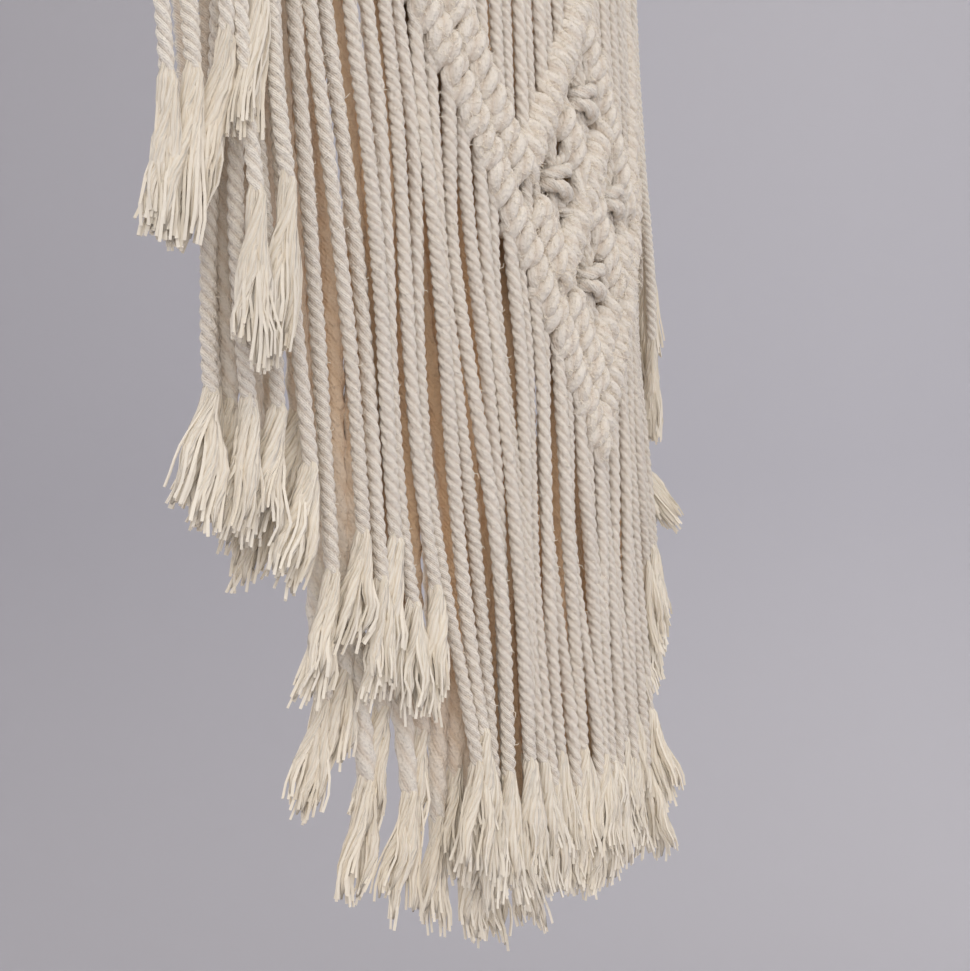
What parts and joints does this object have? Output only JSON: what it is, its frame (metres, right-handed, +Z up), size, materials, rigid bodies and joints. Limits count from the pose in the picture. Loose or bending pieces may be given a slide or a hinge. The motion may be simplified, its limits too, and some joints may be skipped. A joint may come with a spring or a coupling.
{
  "type": "macrame wall hanging",
  "caption": "Hanging of twisted cotton cords: a knotted panel with a V-shaped band over a diamond, a back curtain of cords, short side fringes and a stepped hem of frayed tails.",
  "frame": {"origin": "middle of the top edge, on top of the heading", "axes": "+Z up, -Y towards the front, +X to the right as seen from the front"},
  "size_m": [0.4397, 0.094, 0.4821],
  "materials": {
    "panel_cotton": "twisted natural cotton cord, matt",
    "back_cotton": "twisted natural cotton cord, matt",
    "side_cotton": "twisted natural cotton cord, matt, with frayed tails"
  },
  "bodies": {
    "root": {"knotted_panel": "panel_cotton", "back_fringe": "back_cotton", "side_fringe_left": "side_cotton", "side_fringe_right": "side_cotton"}
  },
  "joints": []
}
